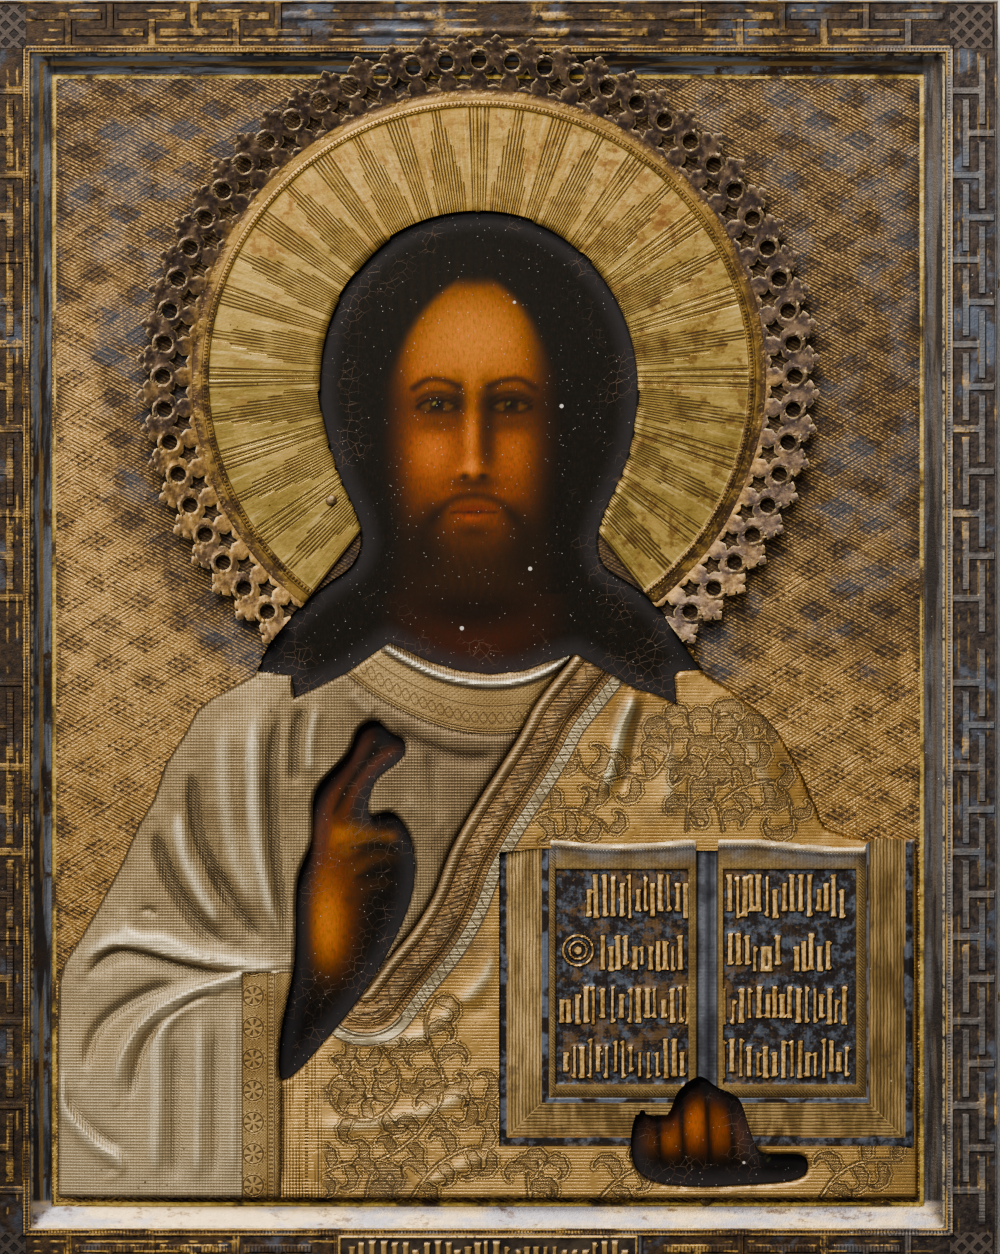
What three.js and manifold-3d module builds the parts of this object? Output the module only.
import * as THREE from "three";
import { mergeVertices } from "three/addons/utils/BufferGeometryUtils.js";
import Module from "manifold-3d";

// An icon panel lying on its back: a painted board, a stamped metal cover with windows over the
// painted head and hands, a pierced halo laid on the cover, and the small nails that hold them.
// Millimetres, +Z up, the top of the picture towards +Y, the origin under the middle of the back.

// Panel and cover
const panelWidth = 178;
const panelHeight = 223.4;
const boardThickness = 21.7;
const backChamfer = 1.2;
const recessDepth = 2.7;
const gessoThickness = 1;
const sheet = 0.5; // thickness of the cover and of the halo
const gap = 0.3; // air between pieces that lie on each other
const skirtStop = 2.5; // bare wood below the cover's turned-down sides
const borderWidth = 9.1;
const bevelWidth = 3.9;

// Key pattern stamped in the border
const keyRise = 0.3; // the plain line inside the pattern
const teeRise = 0.22;
const plateRise = 0.26;
const keyBar = 1.25;
const keyPitch = 15.2;
const keyHalfSpan = 5.9;
const keyLip = 0.6; // plain strip along the outer edge
const keyClear = 0.22; // from a crossbar to the line it faces, as a share of the pattern's width
const cornerBlock = 8.4;
const crossReach = 0.44; // half a corner bar, as a share of the block
const plateWidth = 54; // title plate in the middle of the lower border

// Figure and book, as heights above the field
const figureStep = 0.7;
const figureDome = 1.8;
const domeReach = 10;
const footStrip = 2; // flat field left under the figure
const coverRise = 1.4;
const pageRise = 2.9;
const textSink = 0.45;
const gutterSink = 1.1;
const cut = 1; // how far a cutting solid runs past what it cuts

// Halo: a plain disc out to the ring, then a pierced crown, whose places are counted from the ring
const ringRadius = 50;
const crownDepth = 9.9;
const shoulderDepth = 8.6;
const valleyDepth = 7.2;
const circleDepth = 5.1;
const circleRadius = 1.4;
const circleSides = 6;
const starFoot = 0.9;
const starShoulder = 2.1;
const starApex = 3.7;
const starHalf = 1.75;
const crownPitch = 6; // degrees between teeth
const shoulderTurn = 0.27; // of the step between teeth
const neckClear = 2; // from the plate's open end to the window's lower edge

// Nails
const shankRadius = 0.5;
const headRadius = 1;
const headHeight = 0.6;
const nailLength = 11;
const nailSides = 6;
const sideNailSpread = 0.28; // of the side's length, to each side of its middle
const sideNailDrop = 6; // below the border's top

// Levels and field
const borderTop = boardThickness + gap + sheet;
const paintTop = boardThickness - recessDepth + gessoThickness;
const fieldTop = paintTop + gap + sheet;
const fieldWidth = panelWidth - 2 * (borderWidth + bevelWidth);
const fieldHeight = panelHeight - 2 * (borderWidth + bevelWidth);
const haloFloor = fieldTop + gap;
const crownFloor = borderTop + keyRise + gap;

// The picture's forms, as shares of the field's width from its left edge and of its height from
// its lower edge, in hundredths.
const crownOfHead = [
  [25.6, 50.4], [28.2, 52.7], [31.6, 54.9], [34.4, 56.5], [35.5, 58.3], [35.2, 60.5], [32.7, 65.1],
  [30.7, 72], [32.5, 79.5], [39.3, 85.8], [48.8, 87.9], [57.6, 86.1], [64.1, 81], [67.1, 74.1], [66.2, 66.6],
  [63, 60.5], [62.5, 58.5], [63.2, 56.6], [66.7, 54.7], [69.7, 52.7], [71.9, 50.1],
];
const footOfHead = [
  [74.6, 47.4], [72.1, 47.3], [71.4, 46.9], [71.7, 44.3], [69.4, 45.2], [67, 45.7], [60.1, 48.8],
  [57.3, 48.2], [54.2, 47.3], [50.3, 47], [46.7, 47.3], [43.3, 48.1], [38.7, 49.8],
  [33.7, 47.1], [27.8, 44.9], [27.4, 46.9], [23.4, 47.3],
];
const blessingHand = [
  [37.2, 42.9], [38.7, 41.9], [40.3, 41.2], [40.3, 39.8], [37, 37.5], [36.4, 34.6], [39, 34.8], [41.2, 32.4],
  [41.4, 28], [38.1, 21.8], [32.4, 15.6], [26.4, 11.1], [26.2, 15], [27.8, 21.6], [28.2, 29], [29.8, 32.4],
  [30.2, 36.6], [34, 40.1], [35.4, 42.4],
];
const holdingHand = [
  [74.3, 11.5], [76.2, 10.6], [78.7, 9.6], [80.1, 6.7], [81.2, 4.9], [86.4, 4.4], [86.4, 2.7], [78.5, 1.8],
  [73.2, 1.7], [68.5, 2.3], [66.7, 3.8], [67.1, 8.1], [70.4, 8], [71.9, 10.3],
];
const robe = [
  [23.6, 47.3], [16.5, 43.9], [13.2, 39.4], [10.7, 35.2], [7.3, 29.1], [4, 24.3], [1.1, 21.4], [0.6, 17],
  [0.6, 0], [99.4, 0], [99.4, 5], [92, 25], [88.3, 32.8], [87.5, 36.1], [85, 39.9], [81.8, 43.6],
  [77.3, 46.1], [74.6, 47.3], [72, 48.5], [63, 52], [49, 50], [38, 52], [28, 49.5],
];
const bookCover = [[50.9, 31.8], [50.9, 4.7], [98.9, 4.9], [98.6, 32.3]];
const bookStack = [[52.5, 31.9], [52.5, 6.1], [97.6, 6.1], [97.6, 30.7]];
const bookPages = [[56.1, 31.6], [56.1, 9.3], [93.5, 9.3], [93.5, 31]];
const pageEdge = [
  [56.1, 9.3], [93.5, 9.3], [93.5, 31.2], [88.6, 31.5], [82, 32.4], [76.4, 32.4], [75.1, 31.9], [74, 32.4],
  [70.5, 32.4], [65.2, 31.9], [60.3, 32.1], [56.1, 32.6],
];
const textPanels = [[57.8, 10.8, 73, 29.8], [77, 10.8, 92.2, 29.8]];
const gutterPlace = [73.9, 9.3, 76.1, 33];
const haloCentre = [48.95, 73.3];
const crownFoot = 53.6; // height at which the crown ends on both sides
const haloNail = [32, 62.4];
const fieldNail = 75; // along the lower edge

// Folds and rolled edges: a path, a height above the robe (a groove where it is negative) and a
// half width in millimetres.
const folds = [
  { path: [[16, 39.5], [16.5, 33.5], [18.5, 29.5], [21.5, 25.5]], rise: -0.9, half: 2.2 },
  { path: [[11.5, 34], [13, 29.5], [15, 27], [17.5, 24], [21, 23]], rise: -1, half: 2.2 },
  { path: [[13, 36.5], [14.5, 31], [17, 27], [20.5, 24]], rise: 0.8, half: 2.4 },
  { path: [[10, 26], [13, 23.8], [17.5, 22.3]], rise: 0.6, half: 1.8 },
  { path: [[4, 21.5], [7, 23.4], [11, 23], [17.5, 22], [23.5, 21.4]], rise: 0.9, half: 2 },
  { path: [[4, 19.5], [8, 21], [13, 20.5]], rise: -0.7, half: 1.8 },
  { path: [[27.5, 21.8], [22, 20.8], [16.5, 19.3], [12.5, 17.7], [9.5, 15], [7, 9]], rise: 1, half: 2 },
  { path: [[13, 19.5], [7, 17], [5, 15]], rise: -0.6, half: 1.6 },
  { path: [[1.5, 9], [3, 7], [5, 5.5], [7.5, 4], [8, 2.5]], rise: 0.9, half: 1.6 },
  { path: [[12.5, 15.5], [12, 8.5], [11, 1.5]], rise: 0.6, half: 1.8 },
  { path: [[17, 17], [16.5, 1.5]], rise: 0.6, half: 1.8 },
  { path: [[20.5, 19], [20.5, 1.5]], rise: 0.6, half: 1.8 },
  { path: [[26, 20], [26, 0.5]], rise: 0.8, half: 1.5 },
  { path: [[25.5, 44.5], [25.5, 34], [26, 27.5], [28, 22]], rise: -0.7, half: 2 },
  { path: [[28.5, 44.5], [28, 37]], rise: -0.6, half: 1.8 },
  { path: [[33.5, 47], [39.5, 44], [45.5, 42], [53.5, 41.5]], rise: 0.6, half: 2.4 },
  { path: [[59.7, 49], [54.1, 42], [49.2, 35.9], [45.3, 30.2], [39.8, 23.1]], rise: 0.8, half: 2 },
  { path: [[67, 45.5], [65, 42], [64, 39]], rise: 0.9, half: 2.6 },
];

const wasm = await Module();
wasm.setup();

// Joining and cutting

// A closed mesh as a solid: shared corners merged, flat triangles dropped, faces turned outwards.
function solidOf(geometry) {
  const bare = geometry.index ? geometry.toNonIndexed() : geometry.clone();
  bare.deleteAttribute("normal");
  bare.deleteAttribute("uv");
  const merged = mergeVertices(bare, 1e-4);
  const place = merged.attributes.position;
  const corners = [];
  let volume = 0;
  const a = new THREE.Vector3();
  const b = new THREE.Vector3();
  const c = new THREE.Vector3();
  for (let i = 0; i < merged.index.count; i += 3) {
    const face = [0, 1, 2].map((step) => merged.index.getX(i + step));
    if (new Set(face).size < 3) continue;
    a.fromBufferAttribute(place, face[0]);
    b.fromBufferAttribute(place, face[1]);
    c.fromBufferAttribute(place, face[2]);
    volume += a.dot(b.cross(c));
    corners.push(face);
  }
  const triVerts = new Uint32Array(corners.map((face) => (volume < 0 ? face.reverse() : face)).flat());
  const vertProperties = new Float32Array(place.array);
  return new wasm.Manifold(new wasm.Mesh({ numProp: 3, vertProperties, triVerts }));
}

function geometryOf(solid) {
  const mesh = solid.getMesh();
  const geometry = new THREE.BufferGeometry();
  geometry.setAttribute("position", new THREE.BufferAttribute(new Float32Array(mesh.vertProperties), 3));
  geometry.setIndex(new THREE.BufferAttribute(new Uint32Array(mesh.triVerts), 1));
  geometry.computeVertexNormals();
  return geometry;
}

const joined = (solids) => solids.reduce((all, solid) => all.add(solid));
const without = (solid, cutters) => cutters.reduce((rest, cutter) => rest.subtract(cutter), solid);

// Plain forms

const onField = ([across, up]) =>
  new THREE.Vector2((across / 100 - 0.5) * fieldWidth, (up / 100 - 0.5) * fieldHeight);

const rectangle = (x0, y0, x1, y1) => [
  new THREE.Vector2(x0, y0),
  new THREE.Vector2(x1, y0),
  new THREE.Vector2(x1, y1),
  new THREE.Vector2(x0, y1),
];

const centred = (width, height) => rectangle(-width / 2, -height / 2, width / 2, height / 2);

function prism(outline, low, high) {
  const settings = { depth: high - low, bevelEnabled: false };
  const geometry = new THREE.ExtrudeGeometry(new THREE.Shape(outline), settings);
  return solidOf(geometry.translate(0, 0, low));
}

// A block between two four-sided outlines.
function loft(lowOutline, highOutline, low, high) {
  const corner = [...lowOutline.map((p) => [p.x, p.y, low]), ...highOutline.map((p) => [p.x, p.y, high])];
  const faces = [[3, 2, 1], [3, 1, 0], [4, 5, 6], [4, 6, 7]];
  for (let i = 0; i < 4; i++) {
    const j = (i + 1) % 4;
    faces.push([i, j, j + 4], [i, j + 4, i + 4]);
  }
  const geometry = new THREE.BufferGeometry();
  geometry.setAttribute("position", new THREE.Float32BufferAttribute(corner.flat(), 3));
  geometry.setIndex(faces.flat());
  return solidOf(geometry);
}

const box = (width, height, low, high) => loft(centred(width, height), centred(width, height), low, high);

// A smooth run through a few points, with a number of steps between each two of them.
function smooth(points, steps) {
  const flat = points.map((p) => new THREE.Vector3(p.x, p.y, 0));
  const curve = new THREE.CatmullRomCurve3(flat, false, "centripetal");
  return curve.getPoints((points.length - 1) * steps).map((p) => new THREE.Vector2(p.x, p.y));
}

function distanceTo(path, x, y) {
  let least = Infinity;
  for (let i = 0; i + 1 < path.length; i++) {
    const run = path[i + 1].clone().sub(path[i]);
    const along = ((x - path[i].x) * run.x + (y - path[i].y) * run.y) / run.lengthSq();
    const share = THREE.MathUtils.clamp(along, 0, 1);
    least = Math.min(least, Math.hypot(x - path[i].x - share * run.x, y - path[i].y - share * run.y));
  }
  return least;
}

// Windows, which the cover and the halo share

const headWindow = [...smooth(crownOfHead.map(onField), 2), ...footOfHead.map(onField)];
const handWindows = [blessingHand, holdingHand].map((outline) => outline.map(onField));

// The sunk field with its sloping sides, as the solid of air above it.
function sunkField(drop) {
  const spread = 2 * bevelWidth * (1 + cut / (borderTop - fieldTop));
  return loft(
    centred(fieldWidth, fieldHeight),
    centred(fieldWidth + spread, fieldHeight + spread),
    fieldTop - drop,
    borderTop + cut - drop,
  );
}

// The robe's relief: a dome that rises away from the outline, with the highest ridge and the
// deepest groove that reach a place

function robeRise(x, y, outline, foldPaths) {
  const dome = figureStep + figureDome * (1 - Math.exp(-distanceTo(outline, x, y) / domeReach));
  let ridge = 0;
  let groove = 0;
  folds.forEach((fold, i) => {
    const part = fold.rise * Math.exp(-((distanceTo(foldPaths[i], x, y) / fold.half) ** 2));
    ridge = Math.max(ridge, part);
    groove = Math.min(groove, part);
  });
  return Math.max(dome + ridge + groove, figureStep / 2);
}

function stations(runs) {
  const places = [runs[0][0]];
  for (const [from, to, count] of runs) {
    for (let i = 1; i <= count; i++) places.push(from + ((to - from) * i) / count);
  }
  return places;
}

// A closed block whose top is the robe's surface over a grid that is closer where the folds are.
function robeBlock() {
  const left = -fieldWidth / 2;
  const foot = -fieldHeight / 2 + footStrip;
  const sleeveEnd = left * 0.45;
  const chestEnd = -left * 0.3;
  const sleeveTop = foot * 0.56;
  const neck = fieldHeight * 0.02;
  const columns = stations([[left, sleeveEnd, 18], [sleeveEnd, chestEnd, 13], [chestEnd, -left, 5]]);
  const rows = stations([[foot, sleeveTop, 15], [sleeveTop, neck, 13]]);
  const outline = robe.map(onField);
  outline.push(outline[0]);
  const foldPaths = folds.map((fold) => fold.path.map(onField));
  const top = [];
  const floor = [];
  for (const y of rows) {
    for (const x of columns) {
      top.push(x, y, fieldTop + robeRise(x, y, outline, foldPaths));
      floor.push(x, y, fieldTop - sheet / 2);
    }
  }
  const count = columns.length * rows.length;
  const faces = [];
  const quad = (a, b, c, d) => faces.push(a, b, c, a, c, d);
  for (let j = 0; j + 1 < rows.length; j++) {
    for (let i = 0; i + 1 < columns.length; i++) {
      const a = j * columns.length + i;
      const d = a + columns.length;
      quad(a, a + 1, d + 1, d);
      quad(count + d, count + d + 1, count + a + 1, count + a);
    }
  }
  const rim = [];
  for (let i = 0; i + 1 < columns.length; i++) rim.push(i);
  for (let j = 0; j + 1 < rows.length; j++) rim.push(j * columns.length + columns.length - 1);
  for (let i = columns.length - 1; i > 0; i--) rim.push((rows.length - 1) * columns.length + i);
  for (let j = rows.length - 1; j > 0; j--) rim.push(j * columns.length);
  rim.forEach((a, i) => {
    const b = rim[(i + 1) % rim.length];
    quad(count + a, count + b, b, a);
  });
  const geometry = new THREE.BufferGeometry();
  geometry.setAttribute("position", new THREE.Float32BufferAttribute([...top, ...floor], 3));
  geometry.setIndex(faces);
  const silhouette = prism(robe.map(onField), fieldTop - sheet, fieldTop + 2 * pageRise);
  return solidOf(geometry).intersect(silhouette);
}

// The open book

function openBook() {
  const base = fieldTop - sheet / 2;
  const boards = prism(bookCover.map(onField), base, fieldTop + coverRise);
  const stack = loft(bookStack.map(onField), bookPages.map(onField), base, fieldTop + pageRise - textSink);
  const pages = prism(pageEdge.map(onField), base, fieldTop + pageRise);
  const well = ([x0, y0, x1, y1], depth) => {
    const low = onField([x0, y0]);
    const high = onField([x1, y1]);
    const top = fieldTop + pageRise;
    return prism(rectangle(low.x, low.y, high.x, high.y), top - depth, top + cut);
  };
  const wells = textPanels.map((panel) => well(panel, textSink));
  return without(joined([boards, stack, pages]), [...wells, well(gutterPlace, gutterSink)]);
}

// Key pattern: T shapes that grow in turn from the inner and the outer line of the border

function keyTee(middle, root, reach, turn) {
  const half = keyBar / 2;
  const side = Math.sign(reach - root);
  const bar = reach - side * keyBar;
  return [
    [-half, root],
    [half, root],
    [half, bar],
    [keyHalfSpan, bar],
    [keyHalfSpan, reach],
    [-keyHalfSpan, reach],
    [-keyHalfSpan, bar],
    [-half, bar],
  ].map(([along, out]) => turn(middle + along, out));
}

function keyPattern() {
  const inner = borderWidth - keyBar;
  const outer = keyLip;
  const width = inner - outer;
  const low = borderTop - sheet / 2;
  const sides = [
    { length: panelWidth, turn: (s, u) => new THREE.Vector2(s, panelHeight / 2 - u), plate: 0 },
    { length: panelWidth, turn: (s, u) => new THREE.Vector2(s, u - panelHeight / 2), plate: plateWidth },
    { length: panelHeight, turn: (s, u) => new THREE.Vector2(panelWidth / 2 - u, s), plate: 0 },
    { length: panelHeight, turn: (s, u) => new THREE.Vector2(u - panelWidth / 2, s), plate: 0 },
  ];
  const tees = [];
  for (const { length, turn, plate } of sides) {
    const run = length - 2 * cornerBlock;
    const count = Math.round(run / keyPitch);
    const step = run / count;
    for (let i = 0; i < 2 * count - 1; i++) {
      const middle = (i + 1 - count) * (step / 2);
      if (Math.abs(middle) < plate / 2 + keyHalfSpan) continue;
      const fromInner = i % 2 === 0;
      const root = fromInner ? inner + keyBar / 2 : outer;
      const reach = fromInner ? outer + width * keyClear : inner - width * keyClear;
      tees.push(prism(keyTee(middle, root, reach, turn), low, borderTop + teeRise));
    }
  }
  const high = borderTop + keyRise;
  const frame = prism(centred(panelWidth - 2 * inner, panelHeight - 2 * inner), low, high);
  const opening = box(panelWidth - 2 * borderWidth, panelHeight - 2 * borderWidth, low - cut, high + cut);
  const plateTop = borderWidth - keyBar / 2 - panelHeight / 2;
  const plateFoot = outer - panelHeight / 2;
  const plateOutline = rectangle(-plateWidth / 2, plateFoot, plateWidth / 2, plateTop);
  const plate = prism(plateOutline, low, borderTop + plateRise);
  return [...tees, frame.subtract(opening), plate];
}

// Corner blocks with a diagonal cross

function cornerCrosses() {
  const long = cornerBlock * crossReach;
  const half = keyBar / 2;
  const solids = [];
  for (const [sx, sy] of [[1, 1], [-1, 1], [-1, -1], [1, -1]]) {
    const middle = new THREE.Vector2(sx * (panelWidth - cornerBlock), sy * (panelHeight - cornerBlock));
    middle.divideScalar(2);
    const outline = [];
    for (let arm = 0; arm < 4; arm++) {
      for (const [out, aside] of [[long, -half], [long, half], [half, half]]) {
        const turn = ((arm + 0.5) * Math.PI) / 2;
        outline.push(new THREE.Vector2(out, aside).rotateAround(new THREE.Vector2(), turn).add(middle));
      }
    }
    solids.push(prism(outline, borderTop - sheet / 2, borderTop + teeRise));
  }
  return solids;
}

// Nails: where each one is, which way it points and the height of its head's underside

function nailPlaces() {
  const halo = onField(haloNail);
  const foot = onField([fieldNail, 0]);
  const places = [
    { name: "halo_nail", at: [halo.x, halo.y, haloFloor + sheet], out: [0, 0, 1] },
    { name: "field_nail", at: [foot.x, foot.y + footStrip / 2, fieldTop], out: [0, 0, 1] },
  ];
  const level = borderTop - sideNailDrop;
  [-1, 1].forEach((end, i) => {
    [-1, 1].forEach((side, j) => {
      const along = end * sideNailSpread;
      const number = 2 * i + j + 1;
      const long = [(side * panelWidth) / 2, along * panelHeight, level];
      const short = [along * panelWidth, (side * panelHeight) / 2, level];
      places.push({ name: `side_nail_${number}`, at: long, out: [side, 0, 0] });
      places.push({ name: `side_nail_${number + 4}`, at: short, out: [0, side, 0] });
    });
  });
  return places;
}

function nailBody(profile, place) {
  const points = profile.map(([radius, height]) => new THREE.Vector2(radius, height));
  const geometry = new THREE.LatheGeometry(points, nailSides);
  const up = new THREE.Vector3(0, 1, 0);
  const turn = new THREE.Quaternion().setFromUnitVectors(up, new THREE.Vector3(...place.out));
  geometry.applyQuaternion(turn).translate(...place.at);
  return solidOf(geometry);
}

const nailProfile = [
  [0, -nailLength],
  [shankRadius, -nailLength + 2 * shankRadius],
  [shankRadius, gap],
  [headRadius, gap],
  [headRadius * 0.7, gap + headHeight * 0.8],
  [0, gap + headHeight],
];
const nailHoleProfile = [
  [0, -nailLength - gap],
  [shankRadius + gap, -nailLength - gap],
  [shankRadius + gap, cut + sheet],
  [0, cut + sheet],
];

// The pieces

function makeBoard(nailHoles) {
  const inset = 2 * (sheet + gap);
  const width = panelWidth - inset;
  const height = panelHeight - inset;
  const foot = loft(
    centred(width - 2 * backChamfer, height - 2 * backChamfer),
    centred(width, height),
    0,
    backChamfer,
  );
  const body = foot.add(box(width, height, backChamfer, boardThickness));
  const recess = box(fieldWidth, fieldHeight, boardThickness - recessDepth, boardThickness);
  return without(body, [recess, sunkField(sheet + gap), ...nailHoles]);
}

function makePainting(nailHoles) {
  const slab = box(fieldWidth - 2 * gap, fieldHeight - 2 * gap, boardThickness - recessDepth, paintTop);
  return without(slab, nailHoles);
}

function makeCover(nailHoles) {
  const block = box(panelWidth, panelHeight, skirtStop, borderTop);
  const inside = box(panelWidth - 2 * sheet, panelHeight - 2 * sheet, skirtStop - cut, borderTop - sheet);
  const tray = block.subtract(sunkField(0)).subtract(inside.subtract(sunkField(sheet)));
  const raised = joined([tray, robeBlock(), openBook(), ...keyPattern(), ...cornerCrosses()]);
  const top = fieldTop + 2 * pageRise;
  const windows = [headWindow, ...handWindows].map((outline) => prism(outline, paintTop, top));
  return without(raised, [...windows, ...nailHoles]);
}

// The crown starts to rise at the ring, or sooner where it has to clear the border.
function makeHalo(nailHoles) {
  const middle = onField(haloCentre);
  const crownRadius = ringRadius + crownDepth;
  const borderReach = panelHeight / 2 - borderWidth - middle.y;
  const riseStart = Math.min(ringRadius, borderReach - 1.5 * bevelWidth);
  const slope = (crownFloor - haloFloor) / (borderReach - riseStart);
  const crownLift = slope * (crownRadius + cut - riseStart);
  const profile = [
    [0, haloFloor],
    [riseStart, haloFloor],
    [crownRadius + cut, haloFloor + crownLift],
    [crownRadius + cut, haloFloor + crownLift + sheet],
    [riseStart, haloFloor + sheet],
    [0, haloFloor + sheet],
  ].map(([radius, height]) => new THREE.Vector2(radius, height));
  const dip = THREE.MathUtils.radToDeg(Math.asin((middle.y - onField([0, crownFoot]).y) / ringRadius));
  const pitch = crownPitch;
  const toothCount = 2 * Math.round((90 + dip) / pitch + 0.5);
  const crownStart = 90 - ((toothCount - 1) * pitch) / 2;
  const crownEnd = 90 + ((toothCount - 1) * pitch) / 2;
  const dish = new THREE.LatheGeometry(profile, Math.round(360 / pitch));
  dish.rotateX(Math.PI / 2).translate(middle.x, middle.y, 0);
  const polar = (radius, degrees, aside = 0) => {
    const turn = THREE.MathUtils.degToRad(degrees);
    const point = new THREE.Vector2(radius, aside).rotateAround(new THREE.Vector2(), turn);
    return point.add(middle);
  };
  const outline = [polar(ringRadius, crownStart)];
  const holes = [];
  const low = haloFloor - cut;
  const high = haloFloor + crownLift + sheet + cut;
  for (let i = 0; i < toothCount; i++) {
    const tooth = crownStart + i * pitch;
    if (i > 0) outline.push(polar(ringRadius + shoulderDepth, tooth - pitch * shoulderTurn));
    outline.push(polar(crownRadius, tooth));
    if (i + 1 === toothCount) continue;
    const valley = tooth + pitch / 2;
    outline.push(polar(ringRadius + shoulderDepth, tooth + pitch * shoulderTurn));
    outline.push(polar(ringRadius + valleyDepth, valley));
    const circle = Array.from({ length: circleSides }, (_, k) => {
      const around = (2 * k * Math.PI) / circleSides;
      const out = ringRadius + circleDepth + circleRadius * Math.cos(around);
      return polar(out, valley, circleRadius * Math.sin(around));
    });
    holes.push(prism(circle, low, high));
    if (i === 0) continue;
    const star = [
      polar(ringRadius + starFoot, tooth, -starHalf),
      polar(ringRadius + starFoot, tooth, starHalf),
      polar(ringRadius + starShoulder, tooth, starHalf * 0.85),
      polar(ringRadius + starApex, tooth),
      polar(ringRadius + starShoulder, tooth, -starHalf * 0.85),
    ];
    holes.push(prism(star, low, high));
  }
  outline.push(polar(ringRadius, crownEnd));
  const neckRadius = Math.min(...footOfHead.map((share) => onField(share).distanceTo(middle))) - neckClear;
  for (let turn = crownEnd + pitch; turn < crownStart + 360 - pitch / 2; turn += pitch) {
    outline.push(polar(neckRadius, turn));
  }
  const plate = solidOf(dish).intersect(prism(outline, low, high));
  return without(plate, [...holes, prism(headWindow, low, high), ...nailHoles]);
}

// Materials and the finished group

const brass = { color: 0x8f7440, roughness: 0.45, metalness: 0.9 };
const gilt = { color: 0xb0914c, roughness: 0.38, metalness: 0.95 };
const wood = { color: 0x5a3c25, roughness: 0.75, metalness: 0 };
const paint = { color: 0x3a1c12, roughness: 0.35, metalness: 0 };
const iron = { color: 0x4a4440, roughness: 0.6, metalness: 0.8 };

const panel = new THREE.Group();

function place(name, solid, look) {
  const mesh = new THREE.Mesh(geometryOf(solid), new THREE.MeshStandardMaterial(look));
  mesh.name = name;
  panel.add(mesh);
}

const nails = nailPlaces();
const nailHoles = nails.map((nail) => nailBody(nailHoleProfile, nail));

place("board", makeBoard(nailHoles), wood);
place("painting", makePainting(nailHoles), paint);
place("cover", makeCover(nailHoles), brass);
place("halo", makeHalo(nailHoles), gilt);
for (const nail of nails) place(nail.name, nailBody(nailProfile, nail), iron);

export default panel;
